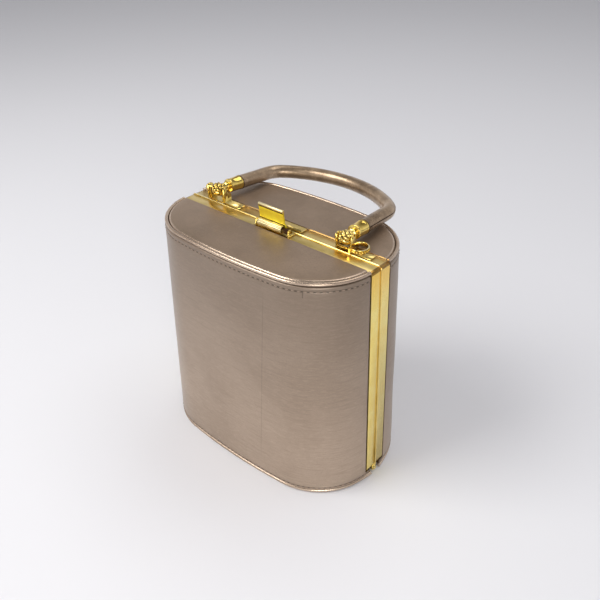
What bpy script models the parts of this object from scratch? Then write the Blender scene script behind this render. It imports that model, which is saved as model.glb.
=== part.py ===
"""Small hard box bag in two hinged halves: leather-covered walls and panels, gold frames,
a lift clasp over the seam and a rolled leather handle on two pivots. Metres, +Z up."""
from math import atan2, cos, pi, radians, sin, sqrt, tan

import bpy
import numpy as np

MM = 0.001

# Body, measured at the top edge of the walls
HALF_LENGTH = 76.0
HALF_DEPTH = 47.85
HEIGHT = 153.3
CORNER_RADIUS = 40.8
BOW_RADIUS = 405.0
BASE_FLARE = 0.05
CORNER_STEPS = 8
BOW_STEPS = 4

# Leather over board
WALL = 2.0
WALL_BOTTOM = 2.8
WALL_TOP = HEIGHT - 1.4
WALL_EASE = 0.5
TOP_INSET = 2.5
TOP_UNDER = HEIGHT - 1.5
TOP_FACE = HEIGHT + 1.0
TOP_RIM = 1.2
TOP_WELT_RADIUS = 1.1
BASE_INSET = 2.7
BASE_THICK = 3.0
BASE_EASE = 0.6
BASE_SEAM_EDGE = 4.4
BASE_RIB_TOP = 4.9
BASE_WELT_RADIUS = 1.2
BASE_WELT_LIFT = 0.05
WELT_SIDES = 8
LEATHER_EDGE = 8.7

# Gold frame of each half
FRAME_WIDTH = 8.4
FRAME_SEAM = 0.15
FRAME_FACE = 1.1
FLANGE_THICK = 1.1
FLANGE_DEPTH = 5.5
FRAME_BOTTOM = 5.2
FRAME_CORNER = 2.0
FRAME_CORNER_STEPS = 3
LIP_WIDTH = 1.0
LIP_HEIGHT = 0.55
LIP_EASE = 0.25
LIP_FADE = 0.01
INNER_CORNER = 0.4

# Bottom hinge
HINGE_HEIGHT = 2.75
KNUCKLE_RADIUS = 2.2
KNUCKLE_LENGTH = 2.2
KNUCKLE_OUTER = 79.4
KNUCKLE_GAP = 0.4
PIN_RADIUS = 0.9
PIN_HEAD_RADIUS = 1.5
PIN_HEAD = 0.8
PIN_BORE = 1.25

# Handle, its axis along X
HANDLE_Y = 2.6
HANDLE_Z = HEIGHT + 8.8
HANDLE_MIDDLE = -1.97
HANDLE_LEG = 51.4
HANDLE_LIE = radians(-3.4)
LEG_TOE = radians(-3.7)
SHOULDER_RADIUS = 16.3
CROWN_RADIUS = 68.5
HANDLE_REACH = 68.4
GRIP_RADIUS = 4.4
GRIP_SIDES = 14
FERRULE_START = 8.5
FERRULE_END = 18.0
FERRULE_RADIUS = 4.65
FERRULE_EASE = 0.3
NECK_RADIUS = 2.4
KNOT_RADIUS = 4.5
KNOT_HALF_WIDTH = 4.0
KNOT_BORE = 1.35
KNOT_STEPS = 7
KNOT_FULLNESS = 0.8
PIVOT_RADIUS = 1.0
SEAT_GAP = 0.3
EDGE_BITE = 0.15

# Handle brackets on the back strip
BRACKET_SHEET = 1.1
BRACKET_SEAT = HEIGHT + 0.25
BRACKET_BASE_TOP = HEIGHT + 0.75
BRACKET_FRONT = 2.0
BRACKET_BACK = 7.7
BRACKET_SHOULDER = HEIGHT + 5.5
EAR_FRONT = 0.6
EAR_HALF = 3.0
EAR_RISE = 2.1
CHEEK_HALF = 1.9
FLANGE_REACH = 13.4
LEFT_EAR = -61.9
LEFT_CHEEK = -48.5
RIGHT_EAR = 43.6
RIGHT_CHEEK = 53.75

# Strap ring, the hook that holds it and the rail in front of the right knot
RING_X = 56.4
RING_Y = 6.3
RING_Z = HEIGHT + 2.6
RING_OUTER = 6.0
RING_INNER = 4.9
RING_HALF_HEIGHT = 1.25
RING_EASE = 0.25
HOOK_FRONT = -0.5
HOOK_POST = 0.65
HOOK_TIP = HEIGHT + 1.1
HOOK_SLOT = 2.4
HOOK_SLOT_TOP = RING_Z + RING_HALF_HEIGHT + 0.3
RAIL_FRONT = 1.45
RAIL_BACK = 2.2
RAIL_RIGHT = 51.4
RAIL_TOP = HEIGHT + 3.0

# Clasp on the front strip, its axis along X
CLASP_MIDDLE = -0.7
CLASP_Y = -5.2
CLASP_Z = HEIGHT + 2.9
BARREL_RADIUS = 2.5
BARREL_BORE = 2.05
BARREL_HALF = 9.4
TAB_TOP = HEIGHT + 14.6
TAB_SHEET = 1.2
TAB_HALF = 9.8
TAB_FOOT_HALF = 10.6
TAB_FOOT_TOP = 2.0
TAB_FOOT_EASE = 3.8
TAB_SET_BACK = 1.8
TAB_LEAN = -0.13
TAB_ROLL = 0.9
CLASP_LEFT = -12.4
CLASP_RIGHT = 15.0
CLASP_FRONT = -8.1
CLASP_BACK = -1.2
CLASP_SEAT = HEIGHT + 0.25
CLASP_TOP = HEIGHT + 0.7
CLASP_RIM = 0.5
CLASP_RIM_TOP = HEIGHT + 1.05
CLASP_SLOT = 1.9
CLASP_LUG = 0.7
CLASP_LUG_RADIUS = 1.75
CLASP_ROD = 1.5
KEEPER_LEFT = -8.0
KEEPER_RIGHT = 16.5
KEEPER_FRONT = 2.2
KEEPER_BACK = 7.8
KEEPER_SEAT = HEIGHT + 0.3
KEEPER_TOP = HEIGHT + 0.9
KEEPER_RIDGE = 0.8
KEEPER_RIDGE_TOP = HEIGHT + 2.1

# The seam plane stands in front of the middle of the whole, because the handle reaches back
BACK_REACH = HANDLE_Y + HANDLE_REACH * cos(HANDLE_LIE) + GRIP_RADIUS
FRONT_REACH = HALF_DEPTH * (1 + BASE_FLARE * (1 - BASE_WELT_RADIUS / HEIGHT))
SEAM_Y = (FRONT_REACH - BACK_REACH) / 2

BACK, FRONT = 1, -1

# Small allowances where shapes join, and how far a cutter runs past what it cuts
JOIN_BITE = 0.5
CUT_PAST = 1.0


def clear_scene():
    for found in list(bpy.data.objects):
        bpy.data.objects.remove(found, do_unlink=True)


def material(name, colour, metallic, roughness):
    made = bpy.data.materials.new(name)
    made.use_nodes = True
    surface = made.node_tree.nodes["Principled BSDF"]
    surface.inputs["Base Color"].default_value = (*colour, 1.0)
    surface.inputs["Metallic"].default_value = metallic
    surface.inputs["Roughness"].default_value = roughness
    return made


def empty(name, at, parent=None):
    made = bpy.data.objects.new(name, None)
    made.empty_display_size = 10 * MM
    made.location = [v * MM for v in at]
    made.parent = parent
    bpy.context.scene.collection.objects.link(made)
    return made


def outward(points, faces):
    """The faces, turned round where they enclose a negative volume."""
    total = 0.0
    for face in faces:
        for i in range(1, len(face) - 1):
            total += np.dot(points[face[0]], np.cross(points[face[i]], points[face[i + 1]]))
    return faces if total > 0 else [face[::-1] for face in faces]


def body(name, shape, surface, parent, pivot=(0, 0, 0), smooth=None):
    """One node from points in the bag's own frame, held under its parent's pivot."""
    points, faces = shape
    points = (np.array(points, float) - np.array(pivot)) * MM
    mesh = bpy.data.meshes.new(name)
    mesh.from_pydata(points.tolist(), [], [list(face) for face in outward(points, faces)])
    mesh.update()
    mesh.materials.append(surface)
    made = bpy.data.objects.new(name, mesh)
    made.parent = parent
    bpy.context.scene.collection.objects.link(made)
    if smooth:
        mesh.shade_smooth()
        mesh.set_sharp_from_angle(angle=radians(smooth))
    return made


def combined(shapes, cuts=()):
    """Shapes joined, then cut, by exact Booleans."""
    def scratch(shape):
        points, faces = shape
        points = np.array(points, float)
        mesh = bpy.data.meshes.new("scratch")
        mesh.from_pydata(points.tolist(), [], [list(f) for f in outward(points, faces)])
        made = bpy.data.objects.new("scratch", mesh)
        bpy.context.scene.collection.objects.link(made)
        return made

    whole = scratch(shapes[0])
    others = [(scratch(s), "UNION") for s in shapes[1:]]
    others += [(scratch(s), "DIFFERENCE") for s in cuts]
    for other, operation in others:
        step = whole.modifiers.new("step", "BOOLEAN")
        step.object = other
        step.operation = operation
        step.solver = "EXACT"
    bpy.context.view_layer.update()
    graph = bpy.context.evaluated_depsgraph_get()
    result = bpy.data.meshes.new_from_object(whole.evaluated_get(graph))
    points = [tuple(v.co) for v in result.vertices]
    faces = [list(p.vertices) for p in result.polygons]
    bpy.data.meshes.remove(result)
    for found in [whole] + [other for other, _ in others]:
        mesh = found.data
        bpy.data.objects.remove(found, do_unlink=True)
        bpy.data.meshes.remove(mesh)
    return points, faces


def flare(z):
    return 1 + BASE_FLARE * (1 - z / HEIGHT)


def outline(inset, z, start):
    """Plan line of a half from one side of the seam round to the other, in (x, distance from seam)."""
    scale = flare(z)
    a = HALF_LENGTH * scale - inset
    b = HALF_DEPTH * scale - inset
    corner = CORNER_RADIUS * scale - inset
    bow = BOW_RADIUS * scale - inset
    cx = a - corner
    cy = (b - bow) + sqrt((bow - corner) ** 2 - cx ** 2)
    last = atan2(cy - (b - bow), cx)
    first = max(0.0, (start - cy) / corner)
    first = atan2(first, sqrt(1 - first * first))
    points = [(cx + corner * cos(first), start)]
    for i in [0.5 if start > cy else 0.0, *range(1, CORNER_STEPS + 1)]:
        angle = first + (last - first) * i / CORNER_STEPS
        points.append((cx + corner * cos(angle), cy + corner * sin(angle)))
    for i in range(1, BOW_STEPS // 2 + 1):
        angle = last + (pi / 2 - last) * i / (BOW_STEPS // 2)
        points.append((bow * cos(angle), (b - bow) + bow * sin(angle)))
    points[-1] = (0.0, b)
    return points + [(-x, y) for x, y in points[-2::-1]]


def band(side, profile, start):
    """A closed profile of (inset, z) carried round the wall line, open at the seam."""
    rings = [[(x, side * y, z) for x, y in outline(inset, z, start)] for inset, z in profile]
    count, along = len(rings), len(rings[0])
    points = [p for ring in rings for p in ring]
    faces = []
    for i in range(count):
        j = (i + 1) % count
        for k in range(along - 1):
            faces.append((i * along + k, i * along + k + 1, j * along + k + 1, j * along + k))
    faces.append([i * along for i in range(count)])
    faces.append([i * along + along - 1 for i in range(count)][::-1])
    return points, faces


def slab(side, levels, start):
    """A stack of plan outlines at (inset, z), closed along the seam side and capped."""
    rings = [[(x, side * y, z) for x, y in outline(inset, z, start)] for inset, z in levels]
    along = len(rings[0])
    points = [p for ring in rings for p in ring]
    faces = []
    for i in range(len(rings) - 1):
        for k in range(along):
            m = (k + 1) % along
            low, high = i * along, (i + 1) * along
            faces.append((low + k, low + m, high + m, high + k))
    faces.append(list(range(along))[::-1])
    faces.append([(len(rings) - 1) * along + k for k in range(along)])
    return points, faces


def circle(radius, sides, start=0.0):
    return [
        (radius * cos(start + 2 * pi * i / sides), radius * sin(start + 2 * pi * i / sides))
        for i in range(sides)
    ]


def prism(axis, low, high, polygon):
    """A polygon in the two other axes (in order) stretched along one axis."""
    def place(t, p):
        if axis == "X":
            return (t, p[0], p[1])
        if axis == "Y":
            return (p[0], t, p[1])
        return (p[0], p[1], t)

    count = len(polygon)
    points = [place(low, p) for p in polygon] + [place(high, p) for p in polygon]
    faces = [(k, (k + 1) % count, count + (k + 1) % count, count + k) for k in range(count)]
    return points, faces + [list(range(count))[::-1], list(range(count, 2 * count))]


def box(x0, x1, y0, y1, z0, z1):
    return prism("X", x0, x1, [(y0, z0), (y1, z0), (y1, z1), (y0, z1)])


def rod(x0, x1, y, z, radius, sides=12):
    return prism("X", x0, x1, [(y + u, z + v) for u, v in circle(radius, sides, pi / sides)])


def turned(axis, centre, profile, sides):
    """A closed profile of (along, radius) turned about an axis, so it has a bore."""
    count = len(profile)
    points, faces = [], []
    for i in range(sides):
        angle = 2 * pi * i / sides
        for along, radius in profile:
            u, v = radius * cos(angle), radius * sin(angle)
            offset = (along, u, v) if axis == "X" else (u, v, along)
            points.append(tuple(c + o for c, o in zip(centre, offset)))
    for i in range(sides):
        j = (i + 1) % sides
        for k in range(count):
            m = (k + 1) % count
            faces.append((i * count + k, j * count + k, j * count + m, i * count + m))
    return points, faces


def round_bar(centres, radii, sides, flat):
    """A bar of round section along a line that lies in the plane square to flat."""
    centres = np.array(centres, float)
    flat = np.array(flat, float)
    ahead = np.gradient(centres, axis=0)
    points, faces = [], []
    for centre, along, radius in zip(centres, ahead, radii):
        along = along / np.linalg.norm(along)
        across = np.cross(along, flat)
        for u, v in circle(radius, sides):
            points.append(tuple(centre + across * u + flat * v))
    last = len(centres) - 1
    for i in range(last):
        for k in range(sides):
            m = (k + 1) % sides
            faces.append((i * sides + k, i * sides + m, (i + 1) * sides + m, (i + 1) * sides + k))
    return points, faces + [list(range(sides))[::-1], [last * sides + k for k in range(sides)]]


def corners_inset(corners, depths):
    """A four-sided outline with each side moved inwards by its own depth."""
    moved = []
    for i in range(4):
        before = (i + 3) % 4
        lines = []
        for side in (before, i):
            p, q = np.array(corners[side]), np.array(corners[(side + 1) % 4])
            along = (q - p) / np.linalg.norm(q - p)
            inward = np.array([-along[1], along[0]])
            lines.append((p + inward * depths[side], along))
        (p, d), (q, e) = lines
        t = np.linalg.solve(np.array([d, -e]).T, q - p)[0]
        moved.append(p + d * t)
    return moved


def rounded(corners, radius):
    points = []
    for i in range(4):
        at = corners[i]
        to = [corners[(i + 3) % 4] - at, corners[(i + 1) % 4] - at]
        to = [v / np.linalg.norm(v) for v in to]
        middle = (to[0] + to[1]) / np.linalg.norm(to[0] + to[1])
        half = atan2(np.linalg.norm(to[0] - to[1]), np.linalg.norm(to[0] + to[1]))
        centre = at + middle * radius / sin(half)
        first = at + to[0] * radius / tan(half) - centre
        final = at + to[1] * radius / tan(half) - centre
        a0, a1 = atan2(first[1], first[0]), atan2(final[1], final[0])
        a1 += 2 * pi if a1 < a0 else 0
        for k in range(FRAME_CORNER_STEPS + 1):
            angle = a0 + (a1 - a0) * k / FRAME_CORNER_STEPS
            points.append((centre[0] + radius * cos(angle), centre[1] + radius * sin(angle)))
    return points


def frame_loop(side, lip):
    """An angle section carried round the mouth of a half; the lip leaves out the bottom run."""
    low = HALF_LENGTH * flare(FRAME_BOTTOM)
    corners = [(-low, FRAME_BOTTOM), (low, FRAME_BOTTOM)]
    corners += [(HALF_LENGTH, HEIGHT), (-HALF_LENGTH, HEIGHT)]
    profile = [(FRAME_SEAM, FLANGE_DEPTH)]
    if lip:
        profile += [(FRAME_SEAM, -LIP_HEIGHT * 0.5), (FRAME_SEAM + LIP_EASE, -LIP_HEIGHT)]
        profile += [(FRAME_SEAM + LIP_WIDTH - LIP_EASE, -LIP_HEIGHT), (FRAME_SEAM + LIP_WIDTH, 0.0)]
    else:
        profile += [(FRAME_SEAM, 0.0)]
    profile += [(FRAME_WIDTH, 0.0), (FRAME_WIDTH, FRAME_FACE)]
    profile += [(FRAME_SEAM + FLANGE_THICK, FRAME_FACE), (FRAME_SEAM + FLANGE_THICK, FLANGE_DEPTH)]
    rings = []
    for y, depth in profile:
        bottom = depth if depth >= 0 else -LIP_FADE * depth
        inset = corners_inset(corners, [bottom, depth, depth, depth])
        ring = rounded(inset, max(FRAME_CORNER - depth, INNER_CORNER))
        rings.append([(x, side * y, z) for x, z in ring])
    count, along = len(rings), len(rings[0])
    points = [p for ring in rings for p in ring]
    faces = []
    for i in range(count):
        j = (i + 1) % count
        for k in range(along):
            m = (k + 1) % along
            faces.append((i * along + k, i * along + m, j * along + m, j * along + k))
    return points, faces


def knuckle(side, outer, end):
    """One hinge knuckle with the neck that joins it to the bottom run of its frame."""
    inner = outer - KNUCKLE_LENGTH
    x0, x1 = sorted((end * inner, end * outer))
    near, far = sorted((side * KNUCKLE_GAP, side * KNUCKLE_RADIUS))
    neck = box(x0, x1, near, far, HINGE_HEIGHT, FRAME_BOTTOM + JOIN_BITE)
    return [rod(x0, x1, 0, HINGE_HEIGHT, KNUCKLE_RADIUS, 16), neck]


def back_frame():
    shapes = [frame_loop(BACK, True)]
    for end in (-1, 1):
        shapes += knuckle(BACK, KNUCKLE_OUTER, end)
        tip = KNUCKLE_OUTER - 2 * KNUCKLE_LENGTH - KNUCKLE_GAP - SEAT_GAP
        x0, x1 = sorted((end * tip, end * (KNUCKLE_OUTER - JOIN_BITE)))
        shapes.append(rod(x0, x1, 0, HINGE_HEIGHT, PIN_RADIUS))
        x0, x1 = sorted((end * (KNUCKLE_OUTER - SEAT_GAP), end * (KNUCKLE_OUTER + PIN_HEAD)))
        shapes.append(rod(x0, x1, 0, HINGE_HEIGHT, PIN_HEAD_RADIUS))
    return combined(shapes)


def front_frame():
    shapes, cuts = [frame_loop(FRONT, False)], []
    outer = KNUCKLE_OUTER - KNUCKLE_LENGTH - KNUCKLE_GAP
    for end in (-1, 1):
        shapes += knuckle(FRONT, outer, end)
        x0, x1 = sorted((end * (outer - KNUCKLE_LENGTH - CUT_PAST), end * (outer + CUT_PAST)))
        cuts.append(rod(x0, x1, 0, HINGE_HEIGHT, PIN_BORE))
    return combined(shapes, cuts)


def wall(side):
    profile = [(WALL, WALL_BOTTOM), (WALL_EASE, WALL_BOTTOM), (0, WALL_BOTTOM + WALL_EASE)]
    profile += [(0, WALL_TOP - WALL_EASE), (WALL_EASE, WALL_TOP), (WALL, WALL_TOP)]
    return band(side, profile, LEATHER_EDGE)


def welt(side, radius, z, start):
    return band(side, [(radius - u, z + v) for u, v in circle(radius, WELT_SIDES, pi / 8)], start)


def top_panel(side):
    levels = [(TOP_INSET, TOP_UNDER), (TOP_INSET, TOP_FACE - TOP_RIM)]
    levels += [(TOP_INSET + 0.3 * TOP_RIM, TOP_FACE - 0.3 * TOP_RIM), (TOP_INSET + TOP_RIM, TOP_FACE)]
    return slab(side, levels, LEATHER_EDGE)


def base_panel(side):
    levels = [(BASE_INSET + BASE_EASE, 0), (BASE_INSET, BASE_EASE), (BASE_INSET, BASE_THICK)]
    plate = slab(side, levels, BASE_SEAM_EDGE)
    near, far = sorted((side * (BASE_SEAM_EDGE + EDGE_BITE), side * (FRAME_WIDTH + BASE_EASE)))
    reach = HALF_LENGTH * (1 + BASE_FLARE) - BASE_INSET - BASE_EASE
    return combined([plate, box(-reach, reach, near, far, BASE_THICK - BASE_EASE, BASE_RIB_TOP)])


def crown(y, z, half, rise, steps=8):
    """The rounded top of an upright plate, from its back edge over to its front edge."""
    turns = [pi * i / steps for i in range(steps + 1)]
    return [(y + half * cos(a), z + rise * sin(a)) for a in turns]


def upright(x, half, rise):
    """A plate square to the strip, rounded round the handle's axis, with a foot behind the lip."""
    step = BRACKET_BASE_TOP + EDGE_BITE
    foot = [(EAR_FRONT, step), (BRACKET_FRONT, step), (BRACKET_FRONT, BRACKET_SEAT)]
    foot += [(BRACKET_BACK, BRACKET_SEAT), (BRACKET_BACK, BRACKET_SHOULDER)]
    top = crown(HANDLE_Y, HANDLE_Z, half, rise)
    return prism("X", x, x + BRACKET_SHEET, foot + top + [(EAR_FRONT, BRACKET_SHOULDER)])


def hook(x):
    """A cheek that reaches forward over the strap ring and comes down in front of it."""
    post, slot = HOOK_FRONT + HOOK_POST, HOOK_FRONT + HOOK_POST + HOOK_SLOT
    line = [(slot, BRACKET_SEAT), (BRACKET_BACK, BRACKET_SEAT), (BRACKET_BACK, BRACKET_SHOULDER)]
    line += crown(HANDLE_Y, HANDLE_Z, CHEEK_HALF, CHEEK_HALF)
    line += [(HANDLE_Y - CHEEK_HALF, BRACKET_SHOULDER), (HOOK_FRONT, BRACKET_SHOULDER - HOOK_POST)]
    line += [(HOOK_FRONT, HOOK_TIP), (post, HOOK_TIP), (post, HOOK_SLOT_TOP), (slot, HOOK_SLOT_TOP)]
    return prism("X", x, x + BRACKET_SHEET, line)


def bracket(ear, cheek, ringed):
    """Folded sheet: a tall ear, a base along the strip, and a cheek for the pin's other end."""
    bite = EDGE_BITE
    end = cheek + FLANGE_REACH
    base = box(ear + bite, end, BRACKET_FRONT, BRACKET_BACK, BRACKET_SEAT, BRACKET_BASE_TOP)
    pin = rod(ear + 2 * bite, cheek + BRACKET_SHEET - 2 * bite, HANDLE_Y, HANDLE_Z, PIVOT_RADIUS)
    shapes = [base, upright(ear, EAR_HALF, EAR_RISE), pin]
    if ringed:
        shapes.append(hook(cheek))
        shapes.append(box(ear + bite, RAIL_RIGHT, RAIL_FRONT, RAIL_BACK, BRACKET_SEAT + bite / 2, RAIL_TOP))
    else:
        shapes.append(upright(cheek, CHEEK_HALF, CHEEK_HALF))
    return combined(shapes)


def handle_point(side, u, v):
    """A point of the handle's own plane: u sideways from its middle, v along its length."""
    return (
        HANDLE_MIDDLE + side * u,
        HANDLE_Y + v * cos(HANDLE_LIE),
        HANDLE_Z + v * sin(HANDLE_LIE),
    )


def handle_line():
    """Centre line of the right half: straight leg, shoulder arc, then the wide crown arc."""
    d = np.array([sin(LEG_TOE), cos(LEG_TOE)])
    n = np.array([d[1], -d[0]])
    crown = np.array([0.0, HANDLE_REACH - CROWN_RADIUS])
    foot = np.array([HANDLE_LEG, 0.0])
    o = foot - SHOULDER_RADIUS * n - crown
    b = o @ d
    t = -b + sqrt(b * b - (o @ o - (CROWN_RADIUS - SHOULDER_RADIUS) ** 2))
    centre = foot + t * d - SHOULDER_RADIUS * n
    a0 = atan2(n[1], n[0])
    q = centre - crown
    a1 = atan2(q[1], q[0])
    start = FERRULE_END + SEAT_GAP
    line = [foot + d * start, foot + d * (start + JOIN_BITE), foot + d * (start + t) / 2]
    for i in range(8):
        angle = a0 + (a1 - a0) * i / 7
        line.append(centre + SHOULDER_RADIUS * np.array([cos(angle), sin(angle)]))
    for i in range(1, 7):
        angle = a1 + (pi / 2 - a1) * i / 6
        line.append(crown + CROWN_RADIUS * np.array([cos(angle), sin(angle)]))
    return d, line


def handle_grip():
    _, line = handle_line()
    right = [handle_point(1, *p) for p in line]
    left = [handle_point(-1, *p) for p in line[-2::-1]]
    radii = [GRIP_RADIUS] * (len(right) + len(left))
    radii[0] = radii[-1] = GRIP_RADIUS - FERRULE_EASE
    flat = (0, -sin(HANDLE_LIE), cos(HANDLE_LIE))
    return round_bar(right + left, radii, GRIP_SIDES, flat)


def handle_end(side):
    """Knot with a cross bore, neck and ferrule, in one soldered piece.
    Each step of the turned bar is (distance from the pivot, radius)."""
    d, _ = handle_line()
    centre = handle_point(side, HANDLE_LEG, 0)
    profile = [(-KNOT_HALF_WIDTH, KNOT_BORE)]
    for i in range(KNOT_STEPS):
        angle = pi * (i + 0.5) / KNOT_STEPS
        profile.append((-KNOT_HALF_WIDTH * cos(angle), KNOT_RADIUS * sin(angle) ** KNOT_FULLNESS))
    profile.append((KNOT_HALF_WIDTH, KNOT_BORE))
    knot = turned("X", centre, profile, 16)
    ease = FERRULE_EASE
    steps = [(KNOT_RADIUS / 2, NECK_RADIUS), (FERRULE_START - 2 * ease, NECK_RADIUS)]
    steps += [(FERRULE_START - ease, FERRULE_RADIUS - 2 * ease), (FERRULE_START + ease, FERRULE_RADIUS)]
    steps += [(FERRULE_END - ease, FERRULE_RADIUS), (FERRULE_END, FERRULE_RADIUS - ease)]
    line = [handle_point(side, *(np.array([HANDLE_LEG, 0.0]) + d * s)) for s, _ in steps]
    flat = (0, -sin(HANDLE_LIE), cos(HANDLE_LIE))
    return combined([knot, round_bar(line, [r for _, r in steps], 16, flat)])


def strap_ring():
    edge = RING_EASE
    h, a, b = RING_HALF_HEIGHT, RING_INNER, RING_OUTER
    profile = [(-h, a + edge), (-h, b - edge), (-h + edge, b), (h - edge, b)]
    profile += [(h, b - edge), (h, a + edge), (h - edge, a), (-h + edge, a)]
    return turned("Z", (RING_X, RING_Y, RING_Z), profile, 20)


def clasp_base():
    """Plate with a slot under the barrel, a raised front rim, and a rod between two lugs."""
    bite = EDGE_BITE
    left, right = CLASP_LEFT, CLASP_RIGHT
    shapes = [box(left, right, CLASP_FRONT, CLASP_BACK, CLASP_SEAT, CLASP_TOP)]
    shapes.append(box(left + bite, right - bite, CLASP_FRONT - bite, CLASP_FRONT + CLASP_RIM,
                      CLASP_SEAT + bite / 2, CLASP_RIM_TOP))
    inner = right - 2 * CLASP_LUG
    for x in (left + bite / 3, inner):
        lug = [(CLASP_Y + front * CLASP_LUG_RADIUS, CLASP_SEAT + bite) for front in (-1, 1)]
        lug += crown(CLASP_Y, CLASP_Z, CLASP_LUG_RADIUS, CLASP_LUG_RADIUS, 6)
        shapes.append(prism("X", x, x + CLASP_LUG, lug))
    shapes.append(rod(left + 2 * bite, inner + CLASP_LUG - bite, CLASP_Y, CLASP_Z, CLASP_ROD))
    slot = box(left + CLASP_LUG + 2 * bite, inner - bite, CLASP_Y - CLASP_SLOT, CLASP_Y + CLASP_SLOT,
               CLASP_SEAT - CUT_PAST, CLASP_TOP + bite)
    return combined(shapes, [slot])


def clasp_lever():
    """Open barrel with a tab that rises behind it, leans forward and ends in a rolled lip."""
    profile = [(-BARREL_HALF, BARREL_BORE), (-BARREL_HALF, BARREL_RADIUS)]
    profile += [(BARREL_HALF, BARREL_RADIUS), (BARREL_HALF, BARREL_BORE)]
    barrel = turned("X", (CLASP_MIDDLE, CLASP_Y, CLASP_Z), profile, 16)
    half = [(TAB_FOOT_HALF, 0.0), (TAB_FOOT_HALF, TAB_FOOT_TOP), (TAB_HALF, TAB_FOOT_EASE)]
    half.append((TAB_HALF, TAB_TOP - CLASP_Z))
    sheet = [(CLASP_MIDDLE + x, CLASP_Z + rise) for x, rise in half]
    sheet += [(CLASP_MIDDLE - x, CLASP_Z + rise) for x, rise in half[::-1]]
    points, faces = prism("Y", -TAB_SHEET / 2, TAB_SHEET / 2, sheet)
    tab = [(x, y + tab_middle(z), z) for x, y, z in points], faces
    reach = TAB_HALF + EDGE_BITE
    roll = rod(CLASP_MIDDLE - reach, CLASP_MIDDLE + reach, tab_middle(TAB_TOP), TAB_TOP, TAB_ROLL, 10)
    past = TAB_FOOT_HALF + CUT_PAST
    bore = rod(CLASP_MIDDLE - past, CLASP_MIDDLE + past, CLASP_Y, CLASP_Z, BARREL_BORE, 16)
    return combined([barrel, tab, roll], [bore])


def tab_middle(z):
    """Where the middle of the tab's sheet lies at a height."""
    return CLASP_Y + TAB_SET_BACK + TAB_LEAN * (z - CLASP_Z)


def clasp_keeper():
    plate = box(KEEPER_LEFT, KEEPER_RIGHT, KEEPER_FRONT, KEEPER_BACK, KEEPER_SEAT, KEEPER_TOP)
    low = KEEPER_FRONT + 2 * EDGE_BITE
    ridge = box(KEEPER_LEFT + EDGE_BITE, KEEPER_RIGHT - EDGE_BITE, low, low + KEEPER_RIDGE,
                KEEPER_SEAT + EDGE_BITE, KEEPER_RIDGE_TOP)
    return combined([plate, ridge])


def build():
    clear_scene()
    leather = material("leather_wall", (0.30, 0.24, 0.185), 0.35, 0.40)
    panel = material("leather_panel", (0.215, 0.16, 0.115), 0.35, 0.42)
    piping = material("leather_piping", (0.36, 0.28, 0.21), 0.35, 0.34)
    grip = material("leather_grip", (0.27, 0.205, 0.145), 0.35, 0.38)
    gold = material("gold_frame", (0.86, 0.60, 0.17), 1.0, 0.22)
    bright = material("gold_fittings", (0.92, 0.66, 0.18), 1.0, 0.14)

    bag = empty("box_bag", (0, SEAM_Y, 0))
    hinge = (0, 0, HINGE_HEIGHT)
    front = empty("front_half", hinge, bag)
    axis = (0, HANDLE_Y, HANDLE_Z)
    handle = empty("handle", axis, bag)
    clasp = (0, CLASP_Y, CLASP_Z)
    lever = empty("lever", [c - h for c, h in zip(clasp, hinge)], front)

    for word, side, parent, pivot in (("back", BACK, bag, (0, 0, 0)), ("front", FRONT, front, hinge)):
        body(word + "_wall", wall(side), leather, parent, pivot, 30)
        body(word + "_top_panel", top_panel(side), panel, parent, pivot, 30)
        edging = welt(side, TOP_WELT_RADIUS, HEIGHT, LEATHER_EDGE)
        body(word + "_top_welt", edging, piping, parent, pivot, 50)
        body(word + "_base_panel", base_panel(side), panel, parent, pivot, 30)
        edging = welt(side, BASE_WELT_RADIUS, BASE_WELT_RADIUS + BASE_WELT_LIFT, BASE_SEAM_EDGE)
        body(word + "_base_welt", edging, piping, parent, pivot, 50)
    body("back_frame", back_frame(), gold, bag, (0, 0, 0), 30)
    body("front_frame", front_frame(), gold, front, hinge, 30)
    body("handle_bracket_left", bracket(LEFT_EAR, LEFT_CHEEK, False), bright, bag, (0, 0, 0), 30)
    body("handle_bracket_right", bracket(RIGHT_EAR, RIGHT_CHEEK, True), bright, bag, (0, 0, 0), 30)
    body("strap_ring", strap_ring(), bright, bag, (0, 0, 0), 40)
    body("clasp_keeper", clasp_keeper(), bright, bag, (0, 0, 0), 30)
    body("clasp_base", clasp_base(), bright, front, hinge, 30)
    body("clasp_lever", clasp_lever(), bright, lever, clasp, 30)
    body("handle_grip", handle_grip(), grip, handle, axis, 50)
    body("handle_end_left", handle_end(-1), bright, handle, axis, 40)
    body("handle_end_right", handle_end(1), bright, handle, axis, 40)


build()
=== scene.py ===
# %% [markdown]
# A small hard box bag: two bowed halves of leather over board, each edged with a gold-tone frame.
# They hinge at the bottom and close with a lift clasp, and a rolled leather handle lies on two pivots.
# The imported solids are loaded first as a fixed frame, and every finer piece is made round them.

# %% Load the fixed frame
import bmesh
import bpy
import numpy as np
from math import atan2, cos, exp, pi, radians, sin, sqrt
from mathutils import Matrix, Vector, noise


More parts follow.
